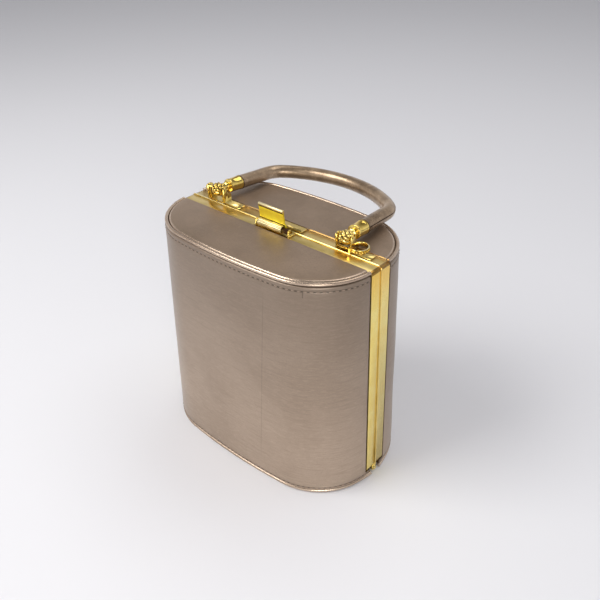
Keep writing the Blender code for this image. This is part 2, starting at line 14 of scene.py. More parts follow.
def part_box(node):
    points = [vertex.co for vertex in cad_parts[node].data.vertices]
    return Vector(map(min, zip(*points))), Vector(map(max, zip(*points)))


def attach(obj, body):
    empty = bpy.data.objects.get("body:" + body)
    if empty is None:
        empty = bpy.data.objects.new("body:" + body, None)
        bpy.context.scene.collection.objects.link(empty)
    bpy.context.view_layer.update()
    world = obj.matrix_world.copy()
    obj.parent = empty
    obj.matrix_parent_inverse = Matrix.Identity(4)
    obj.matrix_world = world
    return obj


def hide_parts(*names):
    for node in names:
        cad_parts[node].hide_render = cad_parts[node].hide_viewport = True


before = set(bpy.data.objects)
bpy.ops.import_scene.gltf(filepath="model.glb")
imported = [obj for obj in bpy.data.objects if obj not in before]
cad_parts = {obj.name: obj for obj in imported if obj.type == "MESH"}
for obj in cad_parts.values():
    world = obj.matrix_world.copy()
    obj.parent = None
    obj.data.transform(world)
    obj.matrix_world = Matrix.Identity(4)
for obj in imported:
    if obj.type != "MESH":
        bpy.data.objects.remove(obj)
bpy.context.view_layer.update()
scene = bpy.context.scene

# %% [markdown]
# All sizes are in millimetres in the bag's own frame, with the seam plane at y = 0 and the floor at z = 0.
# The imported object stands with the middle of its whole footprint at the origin, so the seam plane lies
# a little in front of that. The cut edge of the front wall gives the shift.

# %% The bag's sizes
MM = 0.001
HALF_LENGTH = 76.0
HALF_DEPTH = 47.85
HEIGHT = 153.3
CORNER_RADIUS = 40.8
BOW_RADIUS = 405.0
BASE_FLARE = 0.05
LEATHER_EDGE = 8.7
SEAM_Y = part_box("front_wall")[1][1] / MM + LEATHER_EDGE
BACK, FRONT = 1, -1
HALVES = ((BACK, "back"), (FRONT, "front"))
print(f"seam plane at y = {SEAM_Y:.2f} mm")

# %% [markdown]
# Every surface gets a finish made of shader nodes, and the arithmetic in them reads best as plain
# Python. This class wraps an output socket, so that a + b or 1 - a adds the Math node that does it.
# A second class adds any other node from its type, its settings and the values of its sockets.

# %% Shader arithmetic
class Wire:
    """A number in a shader, which Python's operators can work on."""

    def __init__(self, finish, socket):
        self.finish, self.socket = finish, socket

    def _math(self, operation, *values, clamp=False):
        return self.finish.node("ShaderNodeMath", {"operation": operation, "use_clamp": clamp}, *values)

    def __add__(self, other): return self._math("ADD", self, other)
    def __radd__(self, other): return self._math("ADD", other, self)
    def __sub__(self, other): return self._math("SUBTRACT", self, other)
    def __rsub__(self, other): return self._math("SUBTRACT", other, self)
    def __mul__(self, other): return self._math("MULTIPLY", self, other)
    def __rmul__(self, other): return self._math("MULTIPLY", other, self)
    def absolute(self): return self._math("ABSOLUTE", self)
    def over(self, other): return self._math("MAXIMUM", self, other)

    def between(self, low, high):
        """0 below low, 1 above high, with a smooth step between."""
        steps = {"interpolation_type": "SMOOTHSTEP"}
        return self.finish.node("ShaderNodeMapRange", steps, self, low, high, 0.0, 1.0)


class Finish:
    """The node tree of a material or of the room, with the calls that add nodes to it."""

    def __init__(self, name, owner=None, surface="Principled BSDF"):
        self.owner = owner or bpy.data.materials.new(name)
        self.owner.use_nodes = True
        self.tree = self.owner.node_tree
        self.surface = self.tree.nodes[surface]

    def link(self, value, socket):
        if isinstance(value, Wire):
            self.tree.links.new(value.socket, socket)
        elif isinstance(value, tuple) and len(value) == 3 and socket.type == "RGBA":
            socket.default_value = (*value, 1.0)
        elif value is not None:
            socket.default_value = value

    def node(self, kind, settings, *values, out=0, at=None, **named):
        made = self.tree.nodes.new(kind)
        for key, value in settings.items():
            setattr(made, key, value)
        for socket, value in zip(made.inputs, values):
            self.link(value, socket)
        for number, value in (at or {}).items():
            self.link(value, made.inputs[number])
        for key, value in named.items():
            self.link(value, made.inputs[key.replace("_", " ")])
        return Wire(self, made.outputs[out])

    def place(self, scale=(1, 1, 1), turn=(0, 0, 0)):
        """Object coordinates in metres, scaled and turned."""
        where = self.node("ShaderNodeTexCoord", {}, out=3)
        return self.node("ShaderNodeMapping", {}, where, (0, 0, 0), turn, scale)

    def along(self, axis):
        """One object coordinate, in metres: 0 is x, 1 is y and 2 is z."""
        return self.node("ShaderNodeSeparateXYZ", {}, self.place(), out=axis)

    def noise(self, where, scale, detail=3.0, rough=0.5, warp=0.0):
        return self.node("ShaderNodeTexNoise", {}, Vector=where, Scale=scale, Detail=detail,
                         Roughness=rough, Distortion=warp)

    def cells(self, where, scale):
        return self.node("ShaderNodeTexVoronoi", {}, Vector=where, Scale=scale)

    def mix(self, share, first, second):
        """A colour between two, by share."""
        return self.node("ShaderNodeMix", {"data_type": "RGBA"}, out=2, at={0: share, 6: first, 7: second})

    def bump(self, height, strength, distance, below=None):
        return self.node("ShaderNodeBump", {}, Strength=strength, Distance=distance, Height=height,
                         Normal=below)

    def set(self, **sockets):
        for key, value in sockets.items():
            self.link(value, self.surface.inputs[key.replace("_", " ")])
        return self.owner


def srgb(red, green, blue):
    """A screen colour, 0 to 255, as the linear colour that a shader takes."""
    def linear(v):
        v /= 255
        return v / 12.92 if v <= 0.04045 else ((v + 0.055) / 1.055) ** 2.4
    return (linear(red), linear(green), linear(blue))


def times(colour, factor):
    return tuple(min(1.0, c * factor) for c in colour)


print("shader helpers ready")

# %% [markdown]
# The leather is a fine calf with a pearl finish: taupe, slightly metallic, with a very fine grain that
# lies in short level creases. It could be painted with an image, but noise in object space stays at
# its real scale on every piece. Stretched noise gives the creases, cells give the pores, and a broad
# noise varies the tone a little, as handling does. The walls carry painted shade: deeper in tone towards
# the top, and dark in the grooves of their sewn lines. One has a small nick under its edge and a faint
# upright line. Each mark is (x at the floor, slope, height, half width, half height, depth).

# %% Leather finishes
def leather(name, tone, shade, metal, rough, level=1.0, flake=0.0, painted_top_shade=None, marks=(), groove_shade_heights=()):
    made = Finish(name)
    creased = made.noise(made.place((1, 1, 5)), 240, 4, 0.6, 0.2)
    lines = made.noise(made.place((1, 1, 14)), 60, 4, 0.55, 0.1)
    fine = made.noise(made.place((1, 1, 1.8)), 1100, 3, 0.6)
    pores = made.cells(made.place((1, 1, 1.6)), 1150)
    broad = made.noise(made.place(), 20, 3, 0.55)
    scuffs = made.noise(made.place((1, 1, 6), (0.0, 0.5, 0.3)), 34, 6, 0.7, 0.8).between(0.64, 0.76)
    colour = made.mix(broad.between(0.3, 0.7), shade, tone)
    colour = made.mix(creased.between(0.45, 0.68) * 0.30 * level, colour, times(tone, 1.3))
    colour = made.mix(lines.between(0.5, 0.72) * 0.35 * level, colour, times(shade, 0.8))
    colour = made.mix(fine.between(0.5, 0.72) * 0.35, colour, times(shade, 0.72))
    colour = made.mix(scuffs * 0.25, colour, times(tone, 1.4))
    if flake:
        specks = made.noise(made.place(), 520, 5, 0.75).between(0.52, 0.62)
        worn = made.noise(made.place(), 130, 3, 0.6).between(0.45, 0.62)
        colour = made.mix(specks * flake, colour, times(tone, 1.7))
        colour = made.mix(worn * flake * 0.8, colour, times(shade, 0.62))
    # Painted shade: the wall colour darkens towards the top between the two given heights.
    if painted_top_shade:
        low, high, depth = painted_top_shade
        colour = made.mix(made.along(2).between(low * MM, high * MM) * depth, colour, times(shade, 0.45))
    for x, slope, z, half_wide, half_high, depth in marks:
        aside = made.along(0) - made.along(2) * slope - x * MM
        across = 1 - aside.absolute().between(half_wide * 0.4 * MM, half_wide * MM)
        upward = 1 - (made.along(2) - z * MM).absolute().between(half_high * 0.7 * MM, half_high * MM)
        ahead = 1 - made.along(1).between(-0.03, -0.02)
        colour = made.mix(across * upward * ahead * depth, colour, times(shade, 0.35))
    # Painted shade in the grooves: a dark band at each sewn line's height.
    for z in groove_shade_heights:
        beside = (made.along(2) - z * MM).absolute()
        colour = made.mix((1 - beside.between(0.25 * MM, 0.65 * MM)) * 0.85, colour, times(shade, 0.22))
    height = creased * 0.5 * level + lines * 0.3 * level + fine * 0.35 + pores * 0.22
    normal = made.bump(height, 0.30, 0.00030)
    roughness = rough + (broad - 0.5) * 0.12 + (fine - 0.5) * 0.10 - scuffs * 0.04
    return made.set(Base_Color=colour, Metallic=metal, Roughness=roughness, Normal=normal,
                    Coat_Weight=0.15, Coat_Roughness=0.25)


STITCH_TOP, STITCH_BOTTOM = HEIGHT - 4.3, 4.2
WALL_MARKS = ((54.7, 0.0, 146.9, 0.35, 2.1, 0.8), (24.0, 0.048, 80.0, 0.5, 66.0, 0.22))
wall_leather = leather("pearl_leather_wall", srgb(168, 149, 131), srgb(154, 135, 117), 0.60, 0.38,
                       painted_top_shade=(25, 165, 0.64), marks=WALL_MARKS, groove_shade_heights=(STITCH_BOTTOM, STITCH_TOP))
panel_leather = leather("pearl_leather_panel", srgb(148, 127, 107), srgb(132, 112, 92), 0.60, 0.44, 0.5)
# The piping leather is shinier and paler than the wall's; its paler colour is a painted highlight.
piping_leather_highlight = leather("pearl_leather_piping_highlight", srgb(200, 180, 160), srgb(164, 143, 124), 0.75, 0.25, 0.4)
grip_leather = leather("pearl_leather_grip", srgb(166, 143, 117), srgb(118, 97, 75), 0.72, 0.29, 0.6, 0.45)
print("leathers:", wall_leather.name, panel_leather.name, piping_leather_highlight.name, grip_leather.name)

# %% [markdown]
# Where leather is cut, its edge is painted dark brown so that it doesn't fray. That paint is dull and
# slightly uneven, and it makes the thin dark line beside the frames and along the handle's lapped seam.
# The same colour is also painted shade down the side of each top panel, deep in the seam by the piping.

# %% Edge paint and painted shade
def paint(name, tone, shade, rough):
    made = Finish(name)
    uneven = made.noise(made.place(), 300, 3, 0.6)
    return made.set(Base_Color=made.mix(uneven, shade, tone), Metallic=0.0,
                    Roughness=rough + (uneven - 0.5) * 0.15, Specular_IOR_Level=0.2,
                    Normal=made.bump(uneven, 0.2, 0.0002))


edge_paint_and_seam_shade = paint("edge_paint_and_seam_shade", srgb(70, 48, 26), srgb(48, 32, 16), 0.45)
# Dark brown painted shade for the clasp's bore, rod and lug, the knots' bores and two folds of the clasp's
# tab.
painted_shade_brown = paint("dark_brown_painted_shade", srgb(66, 26, 8), srgb(36, 12, 4), 0.55)
print("paints:", edge_paint_and_seam_shade.name, painted_shade_brown.name)

# %% [markdown]
# The frames are folded sheet with a satin gold plate, drawn lengthwise, and the fittings are bright
# plated castings. Both are true metals, so their look comes from what they reflect. Fine lengthwise
# scratches, a slow waviness and darker patches in the plate break those reflections up. Light and shade
# are also painted into several plate colours: brighter end strips with an orange top, a pale lip, ring rim
# and barrel as painted highlights, brown gold as painted shade and dark reflection at the top corners, in
# the barrel's flutes and between the petals of the knots, and a plain yellow on the clasp's tab as a
# painted reflection of a yellow tag that is not built.

# %% Gold finishes
def gold(name, tone, shade, rough, grain, wave, painted_warm_reflection=None, metal=1.0):
    made = Finish(name)
    drawn = made.noise(made.place(grain), 900, 4, 0.6)
    patch = made.noise(made.place(), 90, 4, 0.6)
    slow = made.noise(made.place((1, 1, 0.6)), 30, 2, 0.5)
    marks = made.noise(made.place(grain, (0.2, 0.1, 0.0)), 200, 6, 0.75).between(0.58, 0.78)
    colour = made.mix(patch.between(0.35, 0.7), shade, tone)
    colour = made.mix(drawn.between(0.5, 0.75) * 0.45, colour, times(shade, 0.72))
    # Painted reflection: an orange tint spreads in patches towards the top between two heights.
    if painted_warm_reflection:
        low, high, tint = painted_warm_reflection
        spread = made.along(2).between(low * MM, high * MM) * patch.between(0.25, 0.5)
        colour = made.mix(spread * 0.7, colour, tint)
    roughness = rough + (drawn - 0.5) * 0.12 + marks * 0.12 + (patch - 0.5) * 0.06
    normal = made.bump(drawn, 0.10, 0.0002, made.bump(slow, wave, 0.0006))
    return made.set(Base_Color=colour, Metallic=metal, Roughness=roughness, Normal=normal)


frame_gold = gold("gold_plate_satin", (0.78, 0.60, 0.23), (0.66, 0.49, 0.16), 0.30, (0.10, 2.4, 1.0), 0.10)
# The end strips are the same plate as the top strip: this brighter, yellower copy is painted light, and its
# orange top is a painted reflection.
side_lit_gold = gold("gold_plate_sides_lit", (1.0, 0.84, 0.31), (0.98, 0.76, 0.23), 0.25, (2.4, 2.4, 0.06), 0.08,
                 (128, 150, (1.0, 0.60, 0.10)))
# The pale cream lip and ring rim gold is a painted highlight on the same plate.
lip_highlight_gold = gold("gold_plate_lip_highlight", (1.0, 0.90, 0.56), (1.0, 0.84, 0.46), 0.24, (1.0, 1.0, 1.0), 0.05)
cast_gold = gold("gold_castings", (0.95, 0.74, 0.24), (0.62, 0.42, 0.09), 0.09, (1.0, 1.0, 1.0), 0.25)
# Brown gold as painted shade and dark reflection: on the frames' turned-down top corners and in the barrel's
# flutes.
painted_shade_gold = gold("gold_plate_painted_shade", (0.42, 0.24, 0.06), (0.26, 0.14, 0.03), 0.22, (1.0, 1.0, 1.0), 0.1)
# The tab's saturated, part diffuse yellow is a painted reflection of a yellow tag that is not built.
tab_reflection_gold = gold("gold_plate_tab_painted_reflection", (1.0, 0.90, 0.06), (0.84, 0.64, 0.03), 0.34, (0.06, 3.0, 3.0), 0.05,
                metal=0.6)
# The barrel and roll take a paler cream gold as a painted highlight.
barrel_highlight_gold = gold("gold_plate_barrel_highlight", (0.96, 0.84, 0.50), (0.86, 0.72, 0.36), 0.30, (0.06, 3.0, 3.0), 0.05)
# Dark brown gold as painted shade in the gaps between the knots' petals.
knot_gap_shade_gold = gold("gold_knot_gap_shade", (0.30, 0.17, 0.03), (0.16, 0.08, 0.02), 0.2, (1.0, 1.0, 1.0), 0.1)
golds = (frame_gold, side_lit_gold, lip_highlight_gold, painted_shade_gold, cast_gold, tab_reflection_gold, barrel_highlight_gold, knot_gap_shade_gold)
print("golds:", ", ".join(metal.name for metal in golds))

# %% [markdown]
# Inside, where the photograph shows nothing, a plain woven cloth lining in a matching taupe is glued
# to the board. Two crossed wave textures make its threads. The sewing thread is dull, and a little
# darker than the leather.

# %% Lining and thread
def woven(name, tone, shade, threads):
    made = Finish(name)
    level, upward = {"bands_direction": "DIAGONAL"}, {"bands_direction": "Z"}
    across = made.node("ShaderNodeTexWave", level, Vector=made.place((1, 1, 0)), Scale=threads)
    upright = made.node("ShaderNodeTexWave", upward, Vector=made.place(), Scale=threads)
    slub = made.noise(made.place((1, 1, 4)), 300, 3)
    weave = across.over(upright)
    colour = made.mix(weave.between(0.2, 0.9) * 0.7 + slub * 0.2, shade, tone)
    return made.set(Base_Color=colour, Roughness=0.85, Normal=made.bump(weave + slub * 0.3, 0.3, 0.0003))


def twisted(name, tone, shade):
    made = Finish(name)
    twist = made.noise(made.place((1, 1, 5)), 1800, 2)
    return made.set(Base_Color=made.mix(twist, shade, tone), Roughness=0.7,
                    Normal=made.bump(twist, 0.4, 0.0002))


lining = woven("lining_cloth", srgb(152, 134, 116), srgb(120, 104, 88), 500)
thread = twisted("sewing_thread", srgb(150, 131, 114), srgb(118, 100, 84))
print("lining and thread ready")

# %% [markdown]
# Meshes are made from points in millimetres. One helper turns them into a finished piece: it shifts
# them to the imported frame, turns the faces outwards, smooths all but the sharp edges, and says which
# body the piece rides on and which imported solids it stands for.

# %% Pieces from points
def piece(name, points, faces, materials, body, stands_for=(), sharp=40, index=None):
    mesh = bpy.data.meshes.new(name)
    mesh.from_pydata([(x * MM, (y + SEAM_Y) * MM, z * MM) for x, y, z in points], [], faces)
    for material in materials:
        mesh.materials.append(material)
    if index is not None:
        mesh.polygons.foreach_set("material_index", index)
    tidy = bmesh.new()
    tidy.from_mesh(mesh)
    bmesh.ops.remove_doubles(tidy, verts=tidy.verts, dist=1e-6)
    bmesh.ops.recalc_face_normals(tidy, faces=tidy.faces)
    if tidy.calc_volume(signed=True) < 0:
        bmesh.ops.reverse_faces(tidy, faces=tidy.faces)
    tidy.to_mesh(mesh)
    tidy.free()
    mesh.shade_smooth()
    mesh.set_sharp_from_angle(angle=radians(sharp))
    made = bpy.data.objects.new(name, mesh)
    scene.collection.objects.link(made)
    declare(made, body, stands_for)
    return made


def declare(made, body, stands_for):
    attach(made, body)
    if stands_for:
        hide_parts(*stands_for)


def grid_faces(rows, columns, wrap_rows=False, wrap_columns=False):
    """Quads over a grid of points, row by row."""
    faces = []
    for i in range(rows if wrap_rows else rows - 1):
        for k in range(columns if wrap_columns else columns - 1):
            j, m = (i + 1) % rows, (k + 1) % columns
            faces.append((i * columns + k, i * columns + m, j * columns + m, j * columns + k))
    return faces


def end_faces(rows, columns):
    """The faces over the first and the last row of a grid that wraps along its columns."""
    return [list(range(columns))[::-1], [(rows - 1) * columns + k for k in range(columns)]]


def side_faces(rows, columns):
    """The faces over the first and the last column of a grid that wraps along its rows."""
    return [[i * columns for i in range(rows)], [i * columns + columns - 1 for i in range(rows)]]


print("mesh helpers ready")

# %% [markdown]
# The plan of a half is one smooth line: a short straight at the frame, a round corner, and a very
# slight bow to the middle. The walls flare towards the floor, so the line grows a little lower down.
# Every leather piece follows this one line at its own inset and height.

# %% The plan line
CORNER_STEPS = 26
BOW_STEPS = 24


def outline(inset, z, start):
    """Points (x, distance from the seam) and outward directions, from the right side round to the left."""
    scale = 1 + BASE_FLARE * (1 - z / HEIGHT)
    a, b = HALF_LENGTH * scale - inset, HALF_DEPTH * scale - inset
    corner, bow = CORNER_RADIUS * scale - inset, BOW_RADIUS * scale - inset
    cx = a - corner
    cy = (b - bow) + sqrt((bow - corner) ** 2 - cx ** 2)
    last = atan2(cy - (b - bow), cx)
    first = max(0.0, (start - cy) / corner)
    first = atan2(first, sqrt(1 - first * first))
    line = [(cx + corner * cos(first), start, 1.0, 0.0)]
    for i in [0.5 if start > cy else 0.0, *range(1, CORNER_STEPS + 1)]:
        t = first + (last - first) * i / CORNER_STEPS
        line.append((cx + corner * cos(t), cy + corner * sin(t), cos(t), sin(t)))
    for i in range(1, BOW_STEPS // 2 + 1):
        t = last + (pi / 2 - last) * i / (BOW_STEPS // 2)
        line.append((bow * cos(t), (b - bow) + bow * sin(t), cos(t), sin(t)))
    line[-1] = (0.0, b, 0.0, 1.0)
    return line + [(-x, y, -u, v) for x, y, u, v in line[-2::-1]]


print(len(outline(0, 0, LEATHER_EDGE)), "points along a half")

# %% [markdown]
# Each wall is leather drawn over board: a band about 2 mm thick that stands on the base and stops
# under the top edge, with a sewn line sunk into it near both ends. A closed profile of inset and
# height is carried round the plan line. At the foot the leather runs on under the frame's end, where the
# frame stops short of the floor. Hand-made board is never quite flat, so the outside moves in
# and out by a few tenths of a millimetre, which shows only in the way that light runs over it.

# %% Walls
WALL = 2.0
WALL_BOTTOM, WALL_TOP = 2.8, HEIGHT - 1.4
GROOVE_WIDTH, GROOVE_DEPTH = 0.62, 0.28
WALL_RINGS = 22
WAVE_SIZE, WAVE_DEPTH = 34, 0.22
CALM_SIDE, CALM_EDGE = 6, 8
EDGE_ROWS = ((0.0, 0.55), (0.30, 0.16), (0.85, 0.0))
FOOT_TOP, FOOT_EDGE = 5.05, 4.7
BODY_OF = {BACK: "back_half", FRONT: "front_half"}


def waviness(x, y, z, size, depth):
    return depth * noise.noise(Vector((x / size, y / size, z / size)))


def wall_profile():
    rows = [(0.9, WALL_BOTTOM), (0.35, WALL_BOTTOM + 0.1), (0.08, WALL_BOTTOM + 0.3)]
    rows.append((0.0, WALL_BOTTOM + 0.6))
    for z in (STITCH_BOTTOM, STITCH_TOP):
        rows += [(0.0, z - GROOVE_WIDTH), (0.1, z - GROOVE_WIDTH / 2), (GROOVE_DEPTH, z)]
        rows += [(0.1, z + GROOVE_WIDTH / 2), (0.0, z + GROOVE_WIDTH)]
        if z == STITCH_BOTTOM:
            rows += [(0.0, FOOT_TOP), (0.0, FOOT_TOP + 0.02)]
            low, high = STITCH_BOTTOM + 3, STITCH_TOP - 3
            rows += [(0.0, low + (high - low) * i / WALL_RINGS) for i in range(WALL_RINGS + 1)]
    rows += [(0.0, WALL_TOP - 1.1), (0.10, WALL_TOP - 0.45), (0.42, WALL_TOP - 0.1), (0.95, WALL_TOP)]
    outer = len(rows)
    rows += [(WALL, WALL_TOP)] + [(WALL, WALL_TOP + (WALL_BOTTOM - WALL_TOP) * i / 4) for i in range(1, 4)]
    rows += [(WALL, FOOT_TOP + 0.02), (WALL, FOOT_TOP), (WALL, WALL_BOTTOM)]
    return rows, outer


def wall_line(inset, z, ease):
    """The plan line, with its cut edges rounded off at both ends by the rows of (distance in, drop)."""
    edge = FOOT_EDGE if z <= FOOT_TOP else LEATHER_EDGE
    line = outline(inset, z, edge + EDGE_ROWS[-1][0])
    x, _, u, v = line[0]
    ends = [(x - drop * ease, edge + ahead, u, v) for ahead, drop in EDGE_ROWS[:-1]]
    return ends + line + [(-x, y, -u, v) for x, y, u, v in ends[::-1]]


def wall(side, word):
    rows, outer = wall_profile()
    points, count = [], len(rows)
    for number, (inset, z) in enumerate(rows):
        for x, y, u, v in wall_line(inset, z, int(number < outer)):
            near = (y - LEATHER_EDGE) / CALM_SIDE if z > FOOT_TOP else 0.0
            near = min(1.0, near, (WALL_TOP - z) / CALM_EDGE + 0.05, (z - WALL_BOTTOM) / CALM_EDGE + 0.05)
            free = max(0.0, near) if number < outer else 0.0
            swell = waviness(x, side * y, z, WAVE_SIZE, WAVE_DEPTH) * free
            points.append((x + u * swell, side * (y + v * swell), z))
    along = len(points) // count
    faces = grid_faces(count, along, wrap_rows=True)
    index = []
    for face in faces:
        column = face[0] % along
        painted = column < 2 or column > along - 4
        index.append(2 if painted and face[0] // along < outer else int(face[0] // along >= outer))
    faces += side_faces(count, along)
    return piece(word + "_wall_leather", points, faces, [wall_leather, lining, edge_paint_and_seam_shade], BODY_OF[side],
                 [word + "_wall"], index=index + [2, 2])


walls = [wall(side, word) for side, word in HALVES]
print("walls:", [len(w.data.polygons) for w in walls], "faces")

# %% [markdown]
# Top and base are padded board panels. The top one has a soft rolled rim and a very slight crown, and
# it sits inside the piping. It is a stack of plan lines that close at a centre patch: rings inside
# rings let the crown and a few shallow dents be real shape instead of paint. Its rolled rim takes the
# piping's leather, shinier and paler, the paler colour a painted highlight, and its side, deep in the
# seam beside the piping, is painted shade in the dark edge colour.

# %% Top and base panels
TOP_INSET, TOP_UNDER, TOP_FACE = 2.5, HEIGHT - 1.5, HEIGHT + 1.0
BASE_SEAM_EDGE = 4.4
RINGS, MIDDLE_IN = 14, 15.0
TOP_CROWN, TOP_DENTS = 0.25, 0.30


def panel_shape(side, rim, start, crown, dents):
    """rim is the side's rows of (inset, z), bottom first; then rings close the top face.
    The third list says which row each face starts from."""
    rows = [[(x, y, z) for x, y, _, _ in outline(inset, z, start)] for inset, z in rim]
    edge = rows[-1]
    for i in range(1, RINGS):
        share = i / RINGS
        left = 1 - share
        rows.append([(x * left, start + (y - start) * left + share * MIDDLE_IN, z) for x, y, z in edge])
    points = []
    for number, row in enumerate(rows):
        for x, y, z in row:
            if number >= len(rim) - 1:
                inside = min(1.0, (number - len(rim) + 1) / 5) * min(1.0, max(0.0, y - start) / 6)
                z += inside * (crown + waviness(x, side * y, 3, 30, dents))
            points.append((x, side * y, z))
    along = len(rows[0])
    faces = grid_faces(len(rows), along, wrap_columns=True)
    faces += end_faces(len(rows), along)[::-1]
    return points, faces, [face[0] // along for face in faces]


def top_panel(side, word):
    rim = [(TOP_INSET, TOP_UNDER), (TOP_INSET, TOP_FACE - 1.15), (TOP_INSET + 0.10, TOP_FACE - 0.75)]
    rim += [(TOP_INSET + 0.34, TOP_FACE - 0.38), (TOP_INSET + 0.72, TOP_FACE - 0.12)]
    rim.append((TOP_INSET + 1.2, TOP_FACE))
    points, faces, index = panel_shape(side, rim, LEATHER_EDGE, TOP_CROWN, TOP_DENTS)
    # Row 0, the panel's side in the seam, takes painted shade; the rim rows take the piping's paler leather
    # as a painted highlight.
    index = [1 if row < 1 else 2 if row < len(rim) - 1 else 0 for row in index]
    finishes = [panel_leather, edge_paint_and_seam_shade, piping_leather_highlight]
    return piece(word + "_top_leather", points, faces, finishes, BODY_OF[side], [word + "_top_panel"],
                 index=index)


tops = [top_panel(side, word) for side, word in HALVES]
print("top panels:", [len(t.data.polygons) for t in tops], "faces")

# %% [markdown]
# The seam between wall and panel is covered by piping: a strip of leather rolled round a cord. It is
# a round tube that follows the plan line, drawn with enough sides to look round in a close view. Each
# end of the base piping stands out a little where it is cut beside the hinge.

# %% Piping
TOP_WELT, BASE_WELT = 1.1, 1.2
WELT_SIDES = 14
SPLAY, SPLAY_REACH = 1.3, 13.0


def piping(side, word, end, radius, z, start, splay):
    rows = []
    for i in range(WELT_SIDES):
        t = 2 * pi * i / WELT_SIDES
        rows.append((radius - radius * cos(t), z + radius * sin(t)))
    points = []
    for inset, height in rows:
        for x, y, _, _ in outline(inset, height, start):
            out = splay * max(0.0, 1 - (y - start) / SPLAY_REACH) ** 2
            points.append((x + (out if x > 0 else -out), side * y, height))
    along = len(points) // WELT_SIDES
    faces = grid_faces(WELT_SIDES, along, wrap_rows=True)
    faces += side_faces(WELT_SIDES, along)
    piece(f"{word}_{end}_piping", points, faces, [piping_leather_highlight], BODY_OF[side], [f"{word}_{end}_welt"])


for side, word in HALVES:
    piping(side, word, "top", TOP_WELT, HEIGHT, LEATHER_EDGE, 0.0)
    piping(side, word, "base", BASE_WELT, BASE_WELT + 0.05, BASE_SEAM_EDGE, SPLAY)
print("piping made")

# %% [markdown]
# A line of stitches holds leather to board under the top edge and above the base. Hundreds of equal
# stitches on a path are a job for Geometry Nodes: the path becomes evenly spaced points, one small
# thread shape goes on each, turned along the path, and all are made real and given the thread finish.

# %% Stitches by Geometry Nodes
PITCH, STITCH_LENGTH, STITCH_THICK = 3.4, 2.2, 0.80
FIRST_STITCH, STITCH_PROUD = 1.2, 0.12


def repeat_tree():
    """Repeats a long rounded bead along a path, at a pitch."""
    tree = bpy.data.node_groups.new("repeat_along_path", "GeometryNodeTree")
    face = tree.interface
    keys = {}
    face.new_socket("Path", in_out="INPUT", socket_type="NodeSocketGeometry")
    for word in ("Pitch", "Length", "Thick"):
        keys[word] = face.new_socket(word, in_out="INPUT", socket_type="NodeSocketFloat").identifier
    keys["Finish"] = face.new_socket("Finish", in_out="INPUT", socket_type="NodeSocketMaterial").identifier
    face.new_socket("Geometry", in_out="OUTPUT", socket_type="NodeSocketGeometry")
    add, join = tree.nodes.new, tree.links.new
    given, result = add("NodeGroupInput"), add("NodeGroupOutput")
    curve, spots = add("GeometryNodeMeshToCurve"), add("GeometryNodeCurveToPoints")
    spots.mode = "LENGTH"
    bead, shape = add("GeometryNodeMeshUVSphere"), add("GeometryNodeTransform")
    bead.inputs["Segments"].default_value = 8
    bead.inputs["Rings"].default_value = 6
    bead.inputs["Radius"].default_value = 0.5
    size = add("ShaderNodeCombineXYZ")
    put, real = add("GeometryNodeInstanceOnPoints"), add("GeometryNodeRealizeInstances")
    paint = add("GeometryNodeSetMaterial")
    join(given.outputs["Path"], curve.inputs[0])
    join(curve.outputs[0], spots.inputs["Curve"])
    join(given.outputs["Pitch"], spots.inputs["Length"])
    for axis, word in (("X", "Thick"), ("Y", "Thick"), ("Z", "Length")):
        join(given.outputs[word], size.inputs[axis])
    join(bead.outputs["Mesh"], shape.inputs["Geometry"])
    join(size.outputs[0], shape.inputs["Scale"])
    join(spots.outputs["Points"], put.inputs["Points"])
    join(spots.outputs["Rotation"], put.inputs["Rotation"])
    join(shape.outputs[0], put.inputs["Instance"])
    join(put.outputs[0], real.inputs[0])
    join(real.outputs[0], paint.inputs["Geometry"])
    join(given.outputs["Finish"], paint.inputs["Material"])
    join(paint.outputs[0], result.inputs[0])
    return tree, keys


repeat, repeat_keys = repeat_tree()


def repeated(name, path, body, finish, pitch, length, thick, closed=False):
    """A plain mesh of beads or stitches along a path of points in millimetres."""
    guide = bpy.data.meshes.new(name)
    edges = [(i, i + 1) for i in range(len(path) - 1)] + ([(len(path) - 1, 0)] if closed else [])
    guide.from_pydata([(x * MM, (y + SEAM_Y) * MM, z * MM) for x, y, z in path], edges, [])
    holder = bpy.data.objects.new(name + "_guide", guide)
    scene.collection.objects.link(holder)
    step = holder.modifiers.new("repeat", "NODES")
    step.node_group = repeat
    given = {"Pitch": pitch * MM, "Length": length * MM, "Thick": thick * MM, "Finish": finish}
    for word, value in given.items():
        step[repeat_keys[word]] = value
    graph = bpy.context.evaluated_depsgraph_get()
    mesh = bpy.data.meshes.new_from_object(holder.evaluated_get(graph))
    bpy.data.objects.remove(holder, do_unlink=True)
    mesh.name = name
    mesh.shade_smooth()
    made = bpy.data.objects.new(name, mesh)
    scene.collection.objects.link(made)
    declare(made, body, ())
    return made


def stitches(side, word, end, z):
    line = outline(GROOVE_DEPTH, z, LEATHER_EDGE + FIRST_STITCH)
    path = [(x + u * STITCH_PROUD, side * (y + v * STITCH_PROUD), z) for x, y, u, v in line]
    return repeated(f"{word}_{end}_stitches", path, BODY_OF[side], thread, PITCH, STITCH_LENGTH,
                    STITCH_THICK)


SEAMS = (("top", STITCH_TOP), ("base", STITCH_BOTTOM))
sewn = [stitches(side, word, end, z) for side, word in HALVES for end, z in SEAMS]
print("stitches:", [len(s.data.polygons) for s in sewn], "faces")

# %% [markdown]
# The gold frames, brackets and clasp plates are folded sheet, and their shapes are already right in
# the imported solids. Real sheet has slightly rounded edges that catch the light, so each solid is
# copied, its loose triangles are merged, and a small bevel is cut along its sharp edges. The small plates
# have steps finer than any bevel, so they keep their crisp edges.

